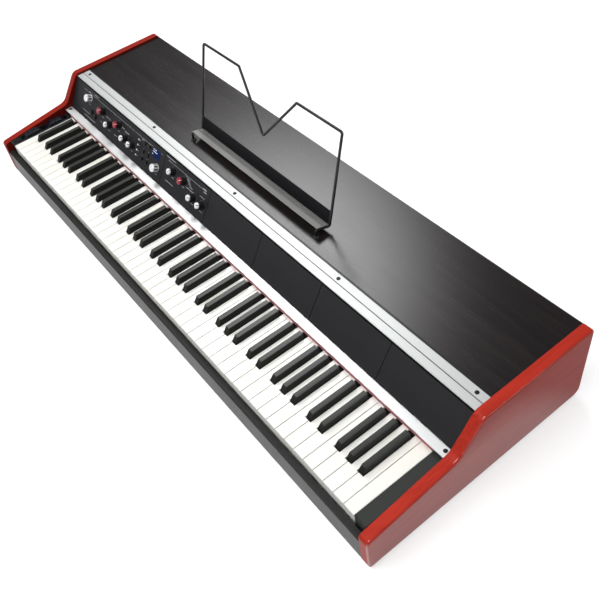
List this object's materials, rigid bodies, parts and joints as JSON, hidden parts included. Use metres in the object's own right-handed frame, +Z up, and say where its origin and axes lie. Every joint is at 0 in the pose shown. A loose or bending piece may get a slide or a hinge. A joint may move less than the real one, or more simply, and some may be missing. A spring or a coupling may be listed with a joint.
{
  "type": "stage piano",
  "caption": "Long flat stage piano with weighted hinged keys, red lacquered end cheeks, a sloping panel of knobs, two wheels and a plug-in wire music rest.",
  "frame": {"origin": "on the floor, below the middle of the whole object's box", "axes": "+X along the keyboard towards the treble, +Y away from the player, +Z up"},
  "size_m": [1.3116, 0.4514, 0.3478],
  "materials": {
    "red_lacquer": "gloss red lacquer",
    "dark_wood": "satin, dark grain",
    "black_steel": "black powder coat",
    "bed_metal": "plain pressed sheet",
    "bright_steel": "drawn",
    "black_satin": "satin black",
    "aluminium": "brushed",
    "red_felt": "felt",
    "white_key": "semi-gloss",
    "black_key": "matte",
    "charcoal": "fine textured paint",
    "silver": "turned",
    "red_cap": "satin",
    "white_cap": "satin",
    "display_blue": "gloss window",
    "circuit_green": "solder mask",
    "black_wire": "satin black paint"
  },
  "bodies": {
    "case": {"left_cheek": "red_lacquer", "right_cheek": "red_lacquer", "top_panel": "dark_wood", "chassis_tray": "black_steel", "front_rail": "black_satin", "left_key_block": "black_satin", "right_key_block": "black_satin", "jack_plate": "black_satin", "upper_trim": "aluminium", "lower_trim": "aluminium", "key_felt": "red_felt", "keybed_frame": "bed_metal", "key_hinge_rod": "bright_steel", "main_board": "circuit_green", "display_window": "display_blue", "music_rest": "black_wire", "control_panel": "charcoal", "effects_module": "charcoal", "blank_module_1": "charcoal", "blank_module_2": "charcoal", "blank_module_3": "charcoal", "blank_module_4": "charcoal"},
    "key_c_4": {"key_c_4": "white_key"},
    "key_d_4": {"key_d_4": "white_key"},
    "key_e_4": {"key_e_4": "white_key"},
    "key_f_4": {"key_f_4": "white_key"},
    "key_g_4": {"key_g_4": "white_key"},
    "key_a_4": {"key_a_4": "white_key"},
    "key_b_4": {"key_b_4": "white_key"},
    "key_c_sharp_4": {"key_c_sharp_4": "black_key"},
    "key_d_sharp_4": {"key_d_sharp_4": "black_key"},
    "key_f_sharp_4": {"key_f_sharp_4": "black_key"},
    "key_g_sharp_4": {"key_g_sharp_4": "black_key"},
    "key_a_sharp_4": {"key_a_sharp_4": "black_key"},
    "white_keys_low": {"white_keys_low": "white_key"},
    "white_keys_high": {"white_keys_high": "white_key"},
    "black_keys_low": {"black_keys_low": "black_key"},
    "black_keys_high": {"black_keys_high": "black_key"},
    "volume_dial": {"volume_dial": "silver"},
    "drive_knob": {"drive_knob": "red_cap"},
    "bass_knob": {"bass_knob": "white_cap"},
    "tremolo_knob": {"tremolo_knob": "red_cap"},
    "rate_knob": {"rate_knob": "white_cap"},
    "treble_knob": {"treble_knob": "white_cap"},
    "data_encoder": {"data_encoder": "silver"},
    "effect_select_knob": {"effect_select_knob": "white_cap"},
    "effect_depth_knob": {"effect_depth_knob": "red_cap"},
    "effect_rate_knob": {"effect_rate_knob": "white_cap"},
    "effect_level_knob": {"effect_level_knob": "white_cap"},
    "menu_button_1": {"menu_button_1": "black_satin"},
    "menu_button_2": {"menu_button_2": "black_satin"},
    "menu_button_3": {"menu_button_3": "black_satin"},
    "menu_button_4": {"menu_button_4": "black_satin"},
    "menu_button_5": {"menu_button_5": "black_satin"},
    "menu_button_6": {"menu_button_6": "black_satin"},
    "side_button_1": {"side_button_1": "black_satin"},
    "side_button_2": {"side_button_2": "black_satin"},
    "pitch_wheel": {"pitch_wheel": "black_satin"},
    "modulation_wheel": {"modulation_wheel": "black_satin"},
    "power_switch": {"power_switch": "black_satin"}
  },
  "joints": [
    {"name": "key_c_4_press", "type": "hinge", "parent": "case", "child": "key_c_4", "pos_m": [0, 0.00449, 0.0609], "axis": [1, 0, 0], "range_deg": [0, 2.6], "stiffness_Nm_per_rad": 1, "springref_deg": -9.74},
    {"name": "key_d_4_press", "type": "hinge", "parent": "case", "child": "key_d_4", "pos_m": [0, 0.00449, 0.0609], "axis": [1, 0, 0], "range_deg": [0, 2.6], "stiffness_Nm_per_rad": 1, "springref_deg": -9.74},
    {"name": "key_e_4_press", "type": "hinge", "parent": "case", "child": "key_e_4", "pos_m": [0, 0.00449, 0.0609], "axis": [1, 0, 0], "range_deg": [0, 2.6], "stiffness_Nm_per_rad": 1, "springref_deg": -9.74},
    {"name": "key_f_4_press", "type": "hinge", "parent": "case", "child": "key_f_4", "pos_m": [0, 0.00449, 0.0609], "axis": [1, 0, 0], "range_deg": [0, 2.6], "stiffness_Nm_per_rad": 1, "springref_deg": -9.74},
    {"name": "key_g_4_press", "type": "hinge", "parent": "case", "child": "key_g_4", "pos_m": [0, 0.00449, 0.0609], "axis": [1, 0, 0], "range_deg": [0, 2.6], "stiffness_Nm_per_rad": 1, "springref_deg": -9.74},
    {"name": "key_a_4_press", "type": "hinge", "parent": "case", "child": "key_a_4", "pos_m": [0, 0.00449, 0.0609], "axis": [1, 0, 0], "range_deg": [0, 2.6], "stiffness_Nm_per_rad": 1, "springref_deg": -9.74},
    {"name": "key_b_4_press", "type": "hinge", "parent": "case", "child": "key_b_4", "pos_m": [0, 0.00449, 0.0609], "axis": [1, 0, 0], "range_deg": [0, 2.6], "stiffness_Nm_per_rad": 1, "springref_deg": -9.74},
    {"name": "key_c_sharp_4_press", "type": "hinge", "parent": "case", "child": "key_c_sharp_4", "pos_m": [0, 0.00449, 0.0609], "axis": [1, 0, 0], "range_deg": [0, 2.6], "stiffness_Nm_per_rad": 0.8, "springref_deg": -9.74},
    {"name": "key_d_sharp_4_press", "type": "hinge", "parent": "case", "child": "key_d_sharp_4", "pos_m": [0, 0.00449, 0.0609], "axis": [1, 0, 0], "range_deg": [0, 2.6], "stiffness_Nm_per_rad": 0.8, "springref_deg": -9.74},
    {"name": "key_f_sharp_4_press", "type": "hinge", "parent": "case", "child": "key_f_sharp_4", "pos_m": [0, 0.00449, 0.0609], "axis": [1, 0, 0], "range_deg": [0, 2.6], "stiffness_Nm_per_rad": 0.8, "springref_deg": -9.74},
    {"name": "key_g_sharp_4_press", "type": "hinge", "parent": "case", "child": "key_g_sharp_4", "pos_m": [0, 0.00449, 0.0609], "axis": [1, 0, 0], "range_deg": [0, 2.6], "stiffness_Nm_per_rad": 0.8, "springref_deg": -9.74},
    {"name": "key_a_sharp_4_press", "type": "hinge", "parent": "case", "child": "key_a_sharp_4", "pos_m": [0, 0.00449, 0.0609], "axis": [1, 0, 0], "range_deg": [0, 2.6], "stiffness_Nm_per_rad": 0.8, "springref_deg": -9.74},
    {"name": "white_keys_low_press", "type": "hinge", "parent": "case", "child": "white_keys_low", "pos_m": [0, 0.00449, 0.0609], "axis": [1, 0, 0], "range_deg": [0, 2.6], "stiffness_Nm_per_rad": 23, "springref_deg": -9.74},
    {"name": "white_keys_high_press", "type": "hinge", "parent": "case", "child": "white_keys_high", "pos_m": [0, 0.00449, 0.0609], "axis": [1, 0, 0], "range_deg": [0, 2.6], "stiffness_Nm_per_rad": 22, "springref_deg": -9.74},
    {"name": "black_keys_low_press", "type": "hinge", "parent": "case", "child": "black_keys_low", "pos_m": [0, 0.00449, 0.0609], "axis": [1, 0, 0], "range_deg": [0, 2.6], "stiffness_Nm_per_rad": 12.8, "springref_deg": -9.74},
    {"name": "black_keys_high_press", "type": "hinge", "parent": "case", "child": "black_keys_high", "pos_m": [0, 0.00449, 0.0609], "axis": [1, 0, 0], "range_deg": [0, 2.6], "stiffness_Nm_per_rad": 12, "springref_deg": -9.74},
    {"name": "volume_dial_turn", "type": "hinge", "parent": "case", "child": "volume_dial", "pos_m": [-0.55401, -0.01528, 0.14145], "axis": [0, -0.849, 0.5284], "range_deg": [-140, 140]},
    {"name": "drive_knob_turn", "type": "hinge", "parent": "case", "child": "drive_knob", "pos_m": [-0.4855, -0.01696, 0.13876], "axis": [0, -0.849, 0.5284], "range_deg": [-140, 140]},
    {"name": "bass_knob_turn", "type": "hinge", "parent": "case", "child": "bass_knob", "pos_m": [-0.44747, -0.02569, 0.12473], "axis": [0, -0.849, 0.5284], "range_deg": [-140, 140]},
    {"name": "tremolo_knob_turn", "type": "hinge", "parent": "case", "child": "tremolo_knob", "pos_m": [-0.40797, -0.01696, 0.13876], "axis": [0, -0.849, 0.5284], "range_deg": [-140, 140]},
    {"name": "rate_knob_turn", "type": "hinge", "parent": "case", "child": "rate_knob", "pos_m": [-0.37348, -0.02569, 0.12473], "axis": [0, -0.849, 0.5284], "range_deg": [-140, 140]},
    {"name": "treble_knob_turn", "type": "hinge", "parent": "case", "child": "treble_knob", "pos_m": [-0.34047, -0.02569, 0.12473], "axis": [0, -0.849, 0.5284], "range_deg": [-140, 140]},
    {"name": "data_encoder_turn", "type": "hinge", "parent": "case", "child": "data_encoder", "pos_m": [-0.23482, -0.02795, 0.12109], "axis": [0, -0.849, 0.5284], "continuous": true},
    {"name": "effect_select_knob_turn", "type": "hinge", "parent": "case", "child": "effect_select_knob", "pos_m": [-0.17391, -0.01696, 0.13876], "axis": [0, -0.849, 0.5284], "range_deg": [-140, 140]},
    {"name": "effect_depth_knob_turn", "type": "hinge", "parent": "case", "child": "effect_depth_knob", "pos_m": [-0.1319, -0.01696, 0.13876], "axis": [0, -0.849, 0.5284], "range_deg": [-140, 140]},
    {"name": "effect_rate_knob_turn", "type": "hinge", "parent": "case", "child": "effect_rate_knob", "pos_m": [-0.0909, -0.02569, 0.12473], "axis": [0, -0.849, 0.5284], "range_deg": [-140, 140]},
    {"name": "effect_level_knob_turn", "type": "hinge", "parent": "case", "child": "effect_level_knob", "pos_m": [-0.0579, -0.02569, 0.12473], "axis": [0, -0.849, 0.5284], "range_deg": [-140, 140]},
    {"name": "menu_button_1_press", "type": "slide", "parent": "case", "child": "menu_button_1", "axis": [0, 0.849, -0.5284], "range_m": [0, 0.0014], "stiffness_N_per_m": 300, "springref_m": -0.002},
    {"name": "menu_button_2_press", "type": "slide", "parent": "case", "child": "menu_button_2", "axis": [0, 0.849, -0.5284], "range_m": [0, 0.0014], "stiffness_N_per_m": 300, "springref_m": -0.002},
    {"name": "menu_button_3_press", "type": "slide", "parent": "case", "child": "menu_button_3", "axis": [0, 0.849, -0.5284], "range_m": [0, 0.0014], "stiffness_N_per_m": 300, "springref_m": -0.002},
    {"name": "menu_button_4_press", "type": "slide", "parent": "case", "child": "menu_button_4", "axis": [0, 0.849, -0.5284], "range_m": [0, 0.0014], "stiffness_N_per_m": 300, "springref_m": -0.002},
    {"name": "menu_button_5_press", "type": "slide", "parent": "case", "child": "menu_button_5", "axis": [0, 0.849, -0.5284], "range_m": [0, 0.0014], "stiffness_N_per_m": 300, "springref_m": -0.002},
    {"name": "menu_button_6_press", "type": "slide", "parent": "case", "child": "menu_button_6", "axis": [0, 0.849, -0.5284], "range_m": [0, 0.0014], "stiffness_N_per_m": 300, "springref_m": -0.002},
    {"name": "side_button_1_press", "type": "slide", "parent": "case", "child": "side_button_1", "axis": [0, 0.849, -0.5284], "range_m": [0, 0.0014], "stiffness_N_per_m": 300, "springref_m": -0.002},
    {"name": "side_button_2_press", "type": "slide", "parent": "case", "child": "side_button_2", "axis": [0, 0.849, -0.5284], "range_m": [0, 0.0014], "stiffness_N_per_m": 300, "springref_m": -0.002},
    {"name": "modulation_wheel_turn", "type": "hinge", "parent": "case", "child": "modulation_wheel", "pos_m": [-0.6234, -0.15701, 0.0674], "axis": [-1, 0, 0], "range_deg": [-35, 35]},
    {"name": "pitch_wheel_turn", "type": "hinge", "parent": "case", "child": "pitch_wheel", "pos_m": [-0.6234, -0.09801, 0.0674], "axis": [-1, 0, 0], "range_deg": [-35, 35], "stiffness_Nm_per_rad": 0.15},
    {"name": "power_switch_rock", "type": "hinge", "parent": "case", "child": "power_switch", "pos_m": [-0.338, 0.22071, 0.057], "axis": [1, 0, 0], "range_deg": [-16, 0]}
  ]
}
